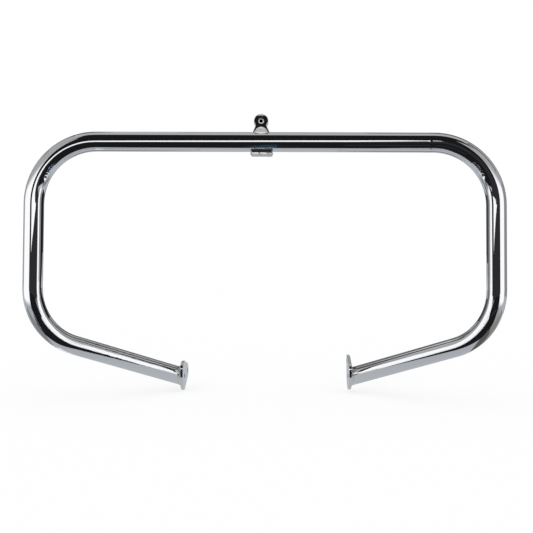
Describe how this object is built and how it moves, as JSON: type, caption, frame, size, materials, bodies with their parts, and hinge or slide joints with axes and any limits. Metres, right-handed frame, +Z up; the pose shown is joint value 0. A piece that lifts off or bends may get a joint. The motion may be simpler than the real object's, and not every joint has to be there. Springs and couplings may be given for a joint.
{
  "type": "motorcycle crash bars",
  "caption": "Chromed tube crash bars for a motorcycle: a wide upright hoop whose lower legs sweep back to bolt flanges, with a threaded lug and a rest pad at the top middle.",
  "frame": {"origin": "on the axis of the lug's threaded hole, in the middle plane of the hoop's tube", "axes": "-Y to the front, +X to the rider's left, +Z up as fitted"},
  "size_m": [0.7812, 0.2275, 0.4712],
  "materials": {
    "tube_chrome": "bright chrome plate on bent tube",
    "plate_chrome": "bright chrome plate on ground plate",
    "weld_chrome": "chrome plate over rippled weld",
    "boss_steel": "turned steel"
  },
  "bodies": {
    "root": {"guard_tube": "tube_chrome", "eye_lug": "plate_chrome", "lower_pad": "plate_chrome", "left_flange": "plate_chrome", "right_flange": "plate_chrome", "eye_lug_weld": "weld_chrome", "lower_pad_weld_front": "weld_chrome", "lower_pad_weld_rear": "weld_chrome", "left_flange_weld": "weld_chrome", "right_flange_weld": "weld_chrome", "left_flange_boss": "boss_steel", "right_flange_boss": "boss_steel"}
  },
  "joints": []
}
